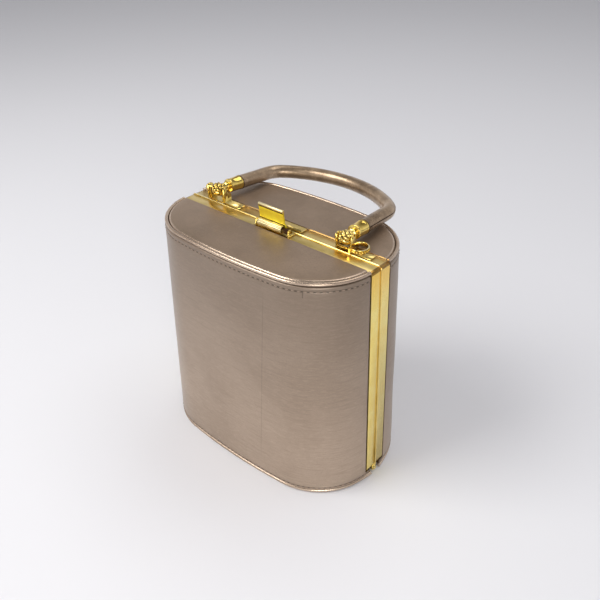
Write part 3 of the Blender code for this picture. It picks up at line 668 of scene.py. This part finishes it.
# %% Eased metalwork
def eased(node, finish, body, width, others):
    """others are (finish, test) pairs: each face takes the first finish whose test it passes."""
    name = node + "_gold"
    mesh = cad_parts[node].data.copy()
    work = bmesh.new()
    work.from_mesh(mesh)
    bmesh.ops.remove_doubles(work, verts=work.verts, dist=2e-6)
    if width:
        bmesh.ops.dissolve_limit(work, angle_limit=radians(1.5), verts=work.verts, edges=work.edges)
    bmesh.ops.recalc_face_normals(work, faces=work.faces)
    work.to_mesh(mesh)
    work.free()
    mesh.name = name
    mesh.materials.clear()
    mesh.materials.append(finish)
    for other, _ in others:
        mesh.materials.append(other)
    for face in mesh.polygons:
        face.material_index = next((k + 1 for k, (_, test) in enumerate(others) if test(face)), 0)
    made = bpy.data.objects.new(name, mesh)
    scene.collection.objects.link(made)
    if width:
        cut = made.modifiers.new("eased", "BEVEL")
        cut.width = width * MM
        cut.segments = 2
        cut.limit_method = "ANGLE"
        cut.angle_limit = radians(28)
        graph = bpy.context.evaluated_depsgraph_get()
        done = bpy.data.meshes.new_from_object(made.evaluated_get(graph))
        made.modifiers.clear()
        made.data = done
    made.data.shade_smooth()
    made.data.set_sharp_from_angle(angle=radians(40))
    declare(made, body, [node])
    return made


# The clasp's rod and the lug at the barrel's open end take painted shade for the dark inside of the barrel.
def dark_rod(face):
    """True on the clasp's rod and its lug at the barrel's open right end."""
    y, z = face.center.y / MM - SEAM_Y - CLASP_Y, face.center.z / MM - CLASP_Z
    return sqrt(y * y + z * z) < CLASP_ROD + 0.1 and abs(face.normal.x) < 0.5 and face.center.x > 0


def end_run(face):
    return abs(face.normal.x) > 0.7 and face.center.z < (HEIGHT - 1) * MM


# Faces of the rounded top corners, which take the brown gold of painted dark reflection.
def top_corner(face):
    return min(abs(face.normal.x), face.normal.z) > 0.2 and face.center.z > (HEIGHT - 3) * MM


def plate_top(face):
    return face.normal.z > 0.9 and face.center.z < (HEIGHT + 1) * MM


def lip_run(face):
    return face.center.y / MM - SEAM_Y < LIP_WIDTH + 0.25 and abs(face.normal.y) < 0.6


CLASP_MIDDLE, CLASP_Y, CLASP_Z, CLASP_ROD = -0.7, -5.2, HEIGHT + 2.9, 1.5
LIP_WIDTH = 1.0
FRAME_PARTS = [(painted_shade_gold, top_corner), (side_lit_gold, end_run)]
LIP, PLATE, ROD = (lip_highlight_gold, lip_run), (frame_gold, plate_top), (painted_shade_brown, dark_rod)
metal = [eased(node, finish, body, width, others) for node, finish, slot, body, width, others in (
    ("back_frame", frame_gold, "gold_frame", "back_half", 0.12, [*FRAME_PARTS, LIP]),
    ("front_frame", frame_gold, "gold_frame", "front_half", 0.20, FRAME_PARTS),
    ("handle_bracket_left", cast_gold, "gold_fittings", "back_half", 0.0, [PLATE]),
    ("handle_bracket_right", cast_gold, "gold_fittings", "back_half", 0.0, [PLATE]),
    ("clasp_keeper", frame_gold, "gold_fittings", "back_half", 0.0, [PLATE]),
    ("clasp_base", cast_gold, "gold_fittings", "front_half", 0.0, [ROD]))]
print("metalwork:", [len(m.data.polygons) for m in metal], "faces")

# %% [markdown]
# The handle is leather rolled round a core. It leaves each ferrule straight, turns at a shoulder and
# runs over in one wide arc. The leather closes in a seam along the outer side, slightly below the
# middle, where one edge laps over the other. A section that is not quite round carries that step.

# %% Handle line
HANDLE_Y, HANDLE_Z = 2.6, HEIGHT + 8.8
HANDLE_MIDDLE, HANDLE_LEG = -1.97, 51.4
HANDLE_LIE, LEG_TOE = radians(-3.4), radians(-3.7)
SHOULDER_RADIUS, CROWN_RADIUS, HANDLE_REACH = 16.3, 68.5, 68.4
GRIP_RADIUS, FERRULE_END = 4.4, 18.0
FLAT = np.array([0.0, -sin(HANDLE_LIE), cos(HANDLE_LIE)])


def handle_point(side, u, v):
    y, z = HANDLE_Y + v * cos(HANDLE_LIE), HANDLE_Z + v * sin(HANDLE_LIE)
    return np.array([HANDLE_MIDDLE + side * u, y, z])


def handle_line(shoulder_steps=26, crown_steps=34):
    d = np.array([sin(LEG_TOE), cos(LEG_TOE)])
    n = np.array([d[1], -d[0]])
    crown, foot = np.array([0.0, HANDLE_REACH - CROWN_RADIUS]), np.array([HANDLE_LEG, 0.0])
    o = foot - SHOULDER_RADIUS * n - crown
    b = o @ d
    t = -b + sqrt(b * b - (o @ o - (CROWN_RADIUS - SHOULDER_RADIUS) ** 2))
    centre = foot + t * d - SHOULDER_RADIUS * n
    q = centre - crown
    a0, a1 = atan2(n[1], n[0]), atan2(q[1], q[0])
    start = FERRULE_END - 1.5
    line = [foot + d * (start + (t - start) * i / 14) for i in range(14)]
    line += [centre + SHOULDER_RADIUS * np.array([cos(a), sin(a)])
             for a in (a0 + (a1 - a0) * i / shoulder_steps for i in range(shoulder_steps))]
    line += [crown + CROWN_RADIUS * np.array([cos(a), sin(a)])
             for a in (a1 + (pi / 2 - a1) * i / crown_steps for i in range(crown_steps + 1))]
    return d, line


def tube(centres, section, radii, flat):
    """section is (angle, share of radius): angle 0 points across the line, 90 along flat."""
    centres = np.array(centres)
    ahead = np.gradient(centres, axis=0)
    points = []
    for centre, along, radius in zip(centres, ahead, radii):
        across = np.cross(along / np.linalg.norm(along), flat)
        for angle, share in section:
            points.append(tuple(centre + radius * share * (across * cos(angle) + flat * sin(angle))))
    faces = grid_faces(len(centres), len(section), wrap_columns=True)
    return points, faces + end_faces(len(centres), len(section))


LEG_DIRECTION, half_line = handle_line()
handle_path = [handle_point(1, *p) for p in half_line] + [handle_point(-1, *p) for p in half_line[-2::-1]]
print("handle line:", len(handle_path), "points")

# %% [markdown]
# The grip's leather is a little uneven under the hand, so its radius wanders by a tenth of a
# millimetre, and the lapped seam is a step with a narrow groove beside it, dark where the cut edge shows.

# %% Grip
SEAM_ANGLE = 12.0
LAP = ((-5.5, 0.985), (-3.6, 0.92), (-1.4, 0.87), (0.8, 0.90), (2.4, 1.02), (4.6, 1.045))
GRIP_STEPS = 40


def grip_section():
    section = []
    for i in range(GRIP_STEPS):
        angle = SEAM_ANGLE + 6 + 348.0 * i / (GRIP_STEPS - 1)
        swell = 0.035 * exp(-((angle - SEAM_ANGLE - 6) / 22) ** 2)
        section.append((radians(angle), 1.0 + swell))
    return section + [(radians(SEAM_ANGLE + 360 + a), s) for a, s in LAP]


def ring_of(centre, heading, radius, thick, sides=36, around=8):
    """A thin round ring about a line."""
    across = np.cross(heading, FLAT)
    points = []
    for k in range(sides):
        t = 2 * pi * k / sides
        out = across * cos(t) + FLAT * sin(t)
        for m in range(around):
            a = 2 * pi * m / around
            points.append(tuple(centre + out * (radius + thick * cos(a)) + heading * thick * sin(a)))
    return points, grid_faces(sides, around, True, True)


def leg_frame(side):
    """Where the handle's leg starts, and its direction away from the pivot."""
    foot = handle_point(side, HANDLE_LEG, 0)
    heading = handle_point(side, *(np.array([HANDLE_LEG, 0.0]) + LEG_DIRECTION)) - foot
    return foot, heading / np.linalg.norm(heading)


def add_shape(points, faces, more_points, more_faces):
    base = len(points)
    points += more_points
    faces += [tuple(base + k for k in f) for f in more_faces]
    return len(more_faces)


def grip():
    radii = [GRIP_RADIUS * (1 + 0.02 * noise.noise(Vector(p) / 14)) for p in handle_path]
    section = grip_section()
    points, faces = tube(handle_path, section, radii, FLAT)
    index = [int(GRIP_STEPS <= f[0] % len(section) < GRIP_STEPS + 3) for f in faces[:-2]] + [0, 0]
    for side in (-1, 1):
        foot, heading = leg_frame(side)
        collar = ring_of(foot + heading * (FERRULE_END + 0.15), heading, GRIP_RADIUS + 0.02, 0.26)
        index += [1] * add_shape(points, faces, *collar)
    return piece("handle_grip_leather", points, faces, [grip_leather, edge_paint_and_seam_shade], "handle", ["handle_grip"],
                 sharp=50, index=index)


handle_grip = grip()
print("grip:", len(handle_grip.data.polygons), "faces")

# %% [markdown]
# Each end of the handle is one gold casting: a knot that the pivot pin passes through, a short neck
# and a ferrule that holds the leather. The turned parts are a profile along the leg. The knot is a
# ball gathered into petals that turn as they run from one end of the bore to the other, so its radius
# rises and falls round the pin, with painted shade in the gaps between petals and in the bore, and a
# slight waist at the middle.

# %% Handle ends
KNOT_RADIUS, KNOT_HALF_WIDTH, KNOT_BORE, KNOT_FULLNESS = 4.45, 3.95, 1.35, 0.8
PETALS, PETAL_DEPTH, PETAL_TURN, PETAL_GAP = 7, 0.27, 0.9, 0.52
KNOT_TURNS, KNOT_ROWS = 84, 22
KNOT_MOUTH, WAIST = 0.86, 0.10
FERRULE_STEPS = ((2.4, 2.4), (5.2, 2.4), (5.5, 2.8), (6.1, 3.0), (6.7, 2.8), (7.0, 2.5), (7.8, 2.5),
                 (8.05, 3.9),
                 (8.3, 4.3), (8.7, 4.45), (9.2, 4.45), (9.4, 4.38), (10.2, 4.36), (15.9, 4.38), (16.1, 4.46),
                 (16.5, 4.56), (17.4, 4.56), (17.8, 4.5), (18.0, 4.38), (17.6, 4.2))


def knot(side):
    """A ball of turned petals about the pin, as rows of radius from one mouth of the bore to the other.
    The third list is 1 in the bore, 2 in the gaps between petals and 0 elsewhere."""
    ball = handle_point(side, HANDLE_LEG, 0)
    points, gaps = [], []
    for i in range(KNOT_TURNS):
        round_pin = 2 * pi * i / KNOT_TURNS
        mouth = KNOT_HALF_WIDTH * KNOT_MOUTH, KNOT_BORE * cos(round_pin), KNOT_BORE * sin(round_pin)
        points.append(tuple(ball + np.array([-mouth[0], *mouth[1:]])))
        for k in range(KNOT_ROWS):
            lie = pi * (0.10 + 0.80 * k / (KNOT_ROWS - 1))
            petal = abs(sin(PETALS * (round_pin + PETAL_TURN * cos(lie)) / 2)) ** 0.55
            waist = 1 - WAIST * exp(-((lie - pi / 2) / 0.16) ** 2)
            share = (1 - PETAL_DEPTH * (1 - petal)) * waist
            gaps.append(petal < PETAL_GAP)
            r = max(KNOT_BORE + 0.05, KNOT_RADIUS * sin(lie) ** KNOT_FULLNESS * share)
            x = -KNOT_HALF_WIDTH * cos(lie) * (1 - 0.16 * (1 - petal))
            points.append(tuple(ball + np.array([x, r * cos(round_pin), r * sin(round_pin)])))
        points.append(tuple(ball + np.array(mouth)))
    faces, rows = grid_faces(KNOT_TURNS, KNOT_ROWS + 2, True, True), KNOT_ROWS + 2
    index = []
    for face in faces:
        turn, row = divmod(face[0], rows)
        petal = 0 < row < rows - 1 and gaps[turn * KNOT_ROWS + row - 1]
        # Bore faces take painted shade in dark brown, and the gaps between petals the brown gold of painted
        # shade.
        index.append(1 if row == rows - 1 else 2 * int(petal))
    return points, faces, index


def end_casting(side, word):
    foot, heading = leg_frame(side)
    across = np.cross(heading, FLAT)
    points, sides = [], 40
    for ahead, radius in FERRULE_STEPS:
        for k in range(sides):
            t = 2 * pi * k / sides
            points.append(tuple(foot + heading * ahead + radius * (across * cos(t) + FLAT * sin(t))))
    faces = grid_faces(len(FERRULE_STEPS), sides, wrap_columns=True) + end_faces(len(FERRULE_STEPS), sides)
    index = [0] * len(faces)
    ball_points, ball_faces, ball_index = knot(side)
    index += ball_index
    add_shape(points, faces, ball_points, ball_faces)
    return piece(f"handle_end_{word}_gold", points, faces, [cast_gold, painted_shade_brown, knot_gap_shade_gold], "handle",
                 [f"handle_end_{word}"], sharp=32, index=index)


ends = [end_casting(side, word) for side, word in ((-1, "left"), (1, "right"))]
print("handle ends:", [len(e.data.polygons) for e in ends], "faces")

# %% [markdown]
# The clasp's barrel is fluted and open at the ends, and its tab is a thin sheet that rises behind the
# barrel, leans forward and ends in a rolled lip. Barrel, tab and roll are separate closed shapes in
# one piece, because on the real clasp they are one sheet, folded. The bore, the flutes' hollows and two
# folds of the tab are painted shade, and the barrel and roll are a paler gold as painted highlight.

# %% Clasp lever
BARREL_RADIUS, BARREL_BORE, BARREL_HALF, FLUTES = 2.5, 2.05, 9.4, 17
TAB_TOP, TAB_SHEET, TAB_HALF, TAB_ROLL = HEIGHT + 14.6, 0.9, 9.8, 0.9
TAB_FOOT_HALF, TAB_FOOT_TOP, TAB_FOOT_EASE = 10.6, 2.0, 3.8
TAB_SET_BACK, TAB_LEAN, TAB_STEP = 1.8, -0.13, 0.13
TAB_ACROSS = 12
BARREL_EASE, FLUTE_DEPTH, FLUTE_STEPS = 0.16, 0.30, 6


def tab_middle(z):
    """Where the middle of the tab's sheet lies at a height."""
    return CLASP_Y + TAB_SET_BACK + TAB_LEAN * (z - CLASP_Z)


def barrel():
    rings, sides = [], FLUTES * FLUTE_STEPS
    depth = BARREL_RADIUS - FLUTE_DEPTH
    inner = BARREL_HALF - BARREL_EASE
    for x, ease in ((-BARREL_HALF, BARREL_EASE), (-inner, 0.0), (inner, 0.0), (BARREL_HALF, BARREL_EASE)):
        ring = []
        for k in range(sides):
            t = 2 * pi * k / sides
            r = depth + FLUTE_DEPTH * abs(sin(FLUTES * t / 2)) ** 0.6 - ease
            ring.append((CLASP_MIDDLE + x, CLASP_Y + r * cos(t), CLASP_Z + r * sin(t)))
        rings.append(ring)
    for x in (BARREL_HALF, -BARREL_HALF):
        rings.append([(CLASP_MIDDLE + x, CLASP_Y + BARREL_BORE * cos(2 * pi * k / sides),
                       CLASP_Z + BARREL_BORE * sin(2 * pi * k / sides)) for k in range(sides)])
    faces = grid_faces(len(rings), sides, True, True)
    hollow = (0, FLUTE_STEPS - 1)
    # The bore takes painted shade, the flutes' hollows the brown gold of painted shade, and the rest the
    # paler barrel gold.
    index = [1 if f[0] // sides == 4 else 4 if f[0] % FLUTE_STEPS in hollow else 2 for f in faces]
    return [p for ring in rings for p in ring], faces, index


def tab():
    """Rows up the sheet as (rise, half length, step forward), each a closed loop round the sheet."""
    foot = 0.35
    rise = TAB_TOP - CLASP_Z
    rows = [(foot, TAB_FOOT_HALF, 0.0), (TAB_FOOT_TOP, TAB_FOOT_HALF, 0.0)]
    rows.append((TAB_FOOT_TOP + 0.9, TAB_FOOT_HALF - 0.45, 0.0))
    rows += [(TAB_FOOT_EASE + up, TAB_HALF, step) for up, step in ((0.0, 0.0), (0.35, TAB_STEP), (0.8, 0.0))]
    rows += [(rise - down, TAB_HALF, step)
             for down, step in ((3.0, 0.0), (2.6, TAB_STEP), (2.2, 0.0), (1.6, 0.0), (0.2, 0.0))]
    rings = []
    for up, half, step in rows:
        middle = tab_middle(CLASP_Z + up)
        front, back = middle - TAB_SHEET / 2 - step, middle + TAB_SHEET / 2
        if up < TAB_FOOT_TOP:
            front = max(front, CLASP_Y + sqrt(max(0.0, (BARREL_BORE + 0.12) ** 2 - up * up)))
        middle = (front + back) / 2
        ring = [(-half, front), *((-half + 2 * half * i / TAB_ACROSS, front) for i in range(1, TAB_ACROSS))]
        ring += [(half, front), (half + 0.06, middle), (half, back), (-half, back), (-half - 0.06, middle)]
        rings.append([(CLASP_MIDDLE + x, y, CLASP_Z + up) for x, y in ring])
    count = len(rings[0])
    faces = grid_faces(len(rings), count, wrap_columns=True) + end_faces(len(rings), count)
    shaded = (1, len(rows) - 2)
    index = [1 if f[0] // count in shaded and f[0] % count < TAB_ACROSS else 3 for f in faces[:-2]] + [3, 3]
    return [p for r in rings for p in r], faces, index


def roll():
    sides, rings = 20, []
    half = TAB_HALF + 0.15
    steps = ((-half, 0.5), (-half + 0.12, 0.8), (-half + 0.3, TAB_ROLL))
    for x, r in steps + tuple((-x, r) for x, r in steps[::-1]):
        for k in range(sides):
            t = 2 * pi * k / sides
            rings.append((CLASP_MIDDLE + x, tab_middle(TAB_TOP) + r * cos(t), TAB_TOP + r * sin(t)))
    count = len(rings) // sides
    faces = grid_faces(count, sides, wrap_columns=True) + end_faces(count, sides)
    return rings, faces, [2] * len(faces)


points, faces, index = [], [], []
for shape in (barrel(), tab(), roll()):
    add_shape(points, faces, *shape[:2])
    index += shape[2]
finishes = [cast_gold, painted_shade_brown, barrel_highlight_gold, tab_reflection_gold, painted_shade_gold]
lever = piece("clasp_lever_gold", points, faces, finishes, "lever", ["clasp_lever"],
              sharp=30, index=index)
print("clasp lever:", len(lever.data.polygons), "faces")

# %% [markdown]
# The strap ring lies on the back strip. It is a crown: a flat band with a thin smooth rim on top and
# beads on its outer side, so the band is a turned profile and the beads come from the same path tree
# as the stitches. The same beads dress the rail in front of the right knot.

# %% Strap ring and rail
RING_X, RING_Y, RING_Z = 56.4, 6.3, HEIGHT + 2.6
RING_OUTER, RING_INNER, RING_HALF = 6.0, 4.9, 1.25
RAIL_LEFT, RAIL_RIGHT, RAIL_FRONT, RAIL_TOP = 44.6, 51.0, 1.45, HEIGHT + 3.0


def round_ring(radius, rise, steps=96):
    turns = [2 * pi * i / steps for i in range(steps)]
    return [(RING_X + radius * cos(t), RING_Y + radius * sin(t), RING_Z + rise) for t in turns]


def strap_ring():
    e, mid = 0.16, (RING_INNER + RING_OUTER) / 2
    profile = [(RING_INNER + e, -RING_HALF), (mid, -RING_HALF), (RING_OUTER - 0.35, -RING_HALF + 0.25)]
    profile += [(RING_OUTER - 0.35, 0.55), (RING_OUTER - 0.1, 0.8), (RING_OUTER - 0.1, RING_HALF - e)]
    profile += [(RING_OUTER - 0.25, RING_HALF)]
    profile += [(RING_INNER + e, RING_HALF), (RING_INNER, RING_HALF - e), (RING_INNER, -RING_HALF + e)]
    turns, points = 72, []
    for i in range(turns):
        t = 2 * pi * i / turns
        points += [(RING_X + r * cos(t), RING_Y + r * sin(t), RING_Z + z) for r, z in profile]
    faces = grid_faces(turns, len(profile), True, True)
    # The ring's top rim takes the pale lip gold as a painted highlight.
    rim = profile.index((RING_OUTER - 0.25, RING_HALF))
    index = [int(face[0] % len(profile) == rim) for face in faces]
    return piece("strap_ring_gold", points, faces, [cast_gold, lip_highlight_gold], "back_half", ["strap_ring"],
                 sharp=45, index=index)


ring = strap_ring()
row = [(RAIL_LEFT + (RAIL_RIGHT - RAIL_LEFT) * i / 12, RAIL_FRONT, RAIL_TOP - 0.75) for i in range(13)]
around = round_ring(RING_OUTER - 0.42, -0.35)
beads = [repeated("strap_ring_beads", around, "back_half", cast_gold,
                  1.75, 1.45, 1.25, closed=True),
         repeated("rail_beads", row, "back_half", cast_gold, 0.95, 0.85, 0.66)]
print("ring:", len(ring.data.polygons), "faces, beads:", [len(b.data.polygons) for b in beads], "faces")

# %% [markdown]
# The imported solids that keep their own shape, such as the base panels, get the same finishes.

# %% Finishes for the kept solids
kept = {"front_base_panel": panel_leather, "back_base_panel": panel_leather}
for node, finish in kept.items():
    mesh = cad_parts[node].data
    mesh.materials.clear()
    mesh.materials.append(finish)
print("kept:", ", ".join(kept))

# %% [markdown]
# The bag stands on a plain pale sweep. The camera stands where the photograph's did: its place and
# lens come from fitting the bag's straight edges, and the fitted roll is kept.

# %% Camera
AZIMUTH, ELEVATION, ROLL = radians(41.09), radians(33.03), radians(-0.74)
CAMERA_AT = (263.96, -283.30, 352.07)
LENS = 42.99


def make_camera():
    back = Vector((sin(AZIMUTH) * cos(ELEVATION), -cos(AZIMUTH) * cos(ELEVATION), sin(ELEVATION)))
    right = (-back).cross(Vector((0, 0, 1))).normalized()
    up = right.cross(-back)
    across = right * cos(ROLL) + up * sin(ROLL)
    over = up * cos(ROLL) - right * sin(ROLL)
    data = bpy.data.cameras.new("camera")
    data.lens, data.sensor_width = LENS, 36.0
    data.clip_start, data.clip_end = 0.01, 20.0
    made = bpy.data.objects.new("camera", data)
    scene.collection.objects.link(made)
    x, y, z = CAMERA_AT
    turn = Matrix((across, over, back)).transposed().to_4x4()
    made.matrix_world = Matrix.Translation((x * MM, (y + SEAM_Y) * MM, z * MM)) @ turn
    scene.camera = made


make_camera()
print("camera at", [round(v, 3) for v in scene.camera.location])

# %% [markdown]
# Light in the photograph is a broad soft box from the upper left in front, with a pale room around.
# A large area light, two weaker fills and a world that is bright at the horizon and dark overhead
# give the same soft shadow to the right and the same calm reflections in leather and gold.

# %% Floor and light
def floor():
    made = Finish("pale_sweep")
    tone = made.noise(made.place(), 1.2, 2)
    surface = made.set(Base_Color=made.mix(tone, (0.74, 0.74, 0.77), (0.77, 0.77, 0.80)), Roughness=0.7,
                       Normal=made.bump(made.noise(made.place(), 900, 2), 0.02, 0.0005))
    size = 4.0
    corners = [(x, y, -0.0003) for y in (-size, size) for x in (-size, size)]
    mesh = bpy.data.meshes.new("floor")
    mesh.from_pydata(corners, [], [(0, 1, 3, 2)])
    mesh.materials.append(surface)
    made = bpy.data.objects.new("floor", mesh)
    scene.collection.objects.link(made)


def area_light(name, at, towards, size, power, colour):
    data = bpy.data.lights.new(name, "AREA")
    data.shape, data.size, data.size_y = "RECTANGLE", size[0], size[1]
    data.energy, data.color = power, colour
    made = bpy.data.objects.new(name, data)
    made.location = at
    made.rotation_mode = "QUATERNION"
    made.rotation_quaternion = (Vector(towards) - Vector(at)).to_track_quat("-Z", "Y")
    scene.collection.objects.link(made)


def room_light(horizon, overhead, strength):
    room = Finish("room", bpy.data.worlds.new("room"), "Background")
    height = room.node("ShaderNodeSeparateXYZ", {}, room.node("ShaderNodeTexCoord", {}), out=2)
    scene.world = room.set(Color=room.mix(height.between(0.1, 0.9), horizon, overhead), Strength=strength)


floor()
area_light("key", (-0.50, -0.72, 1.05), (0, 0, 0.08), (0.7, 0.7), 11.5, (1.0, 0.985, 0.96))
area_light("front_fill", (0.9, -0.9, 0.5), (0, 0, 0.08), (0.6, 0.6), 7.5, (1.0, 0.985, 0.96))
area_light("top", (0.1, 0.5, 1.3), (0, 0, 0.1), (1.2, 0.6), 5.0, (1.0, 1.0, 1.0))
room_light((0.95, 0.95, 0.98), (0.16, 0.155, 0.16), 0.93)
scene.view_settings.view_transform = "Standard"
print("floor and lights placed")
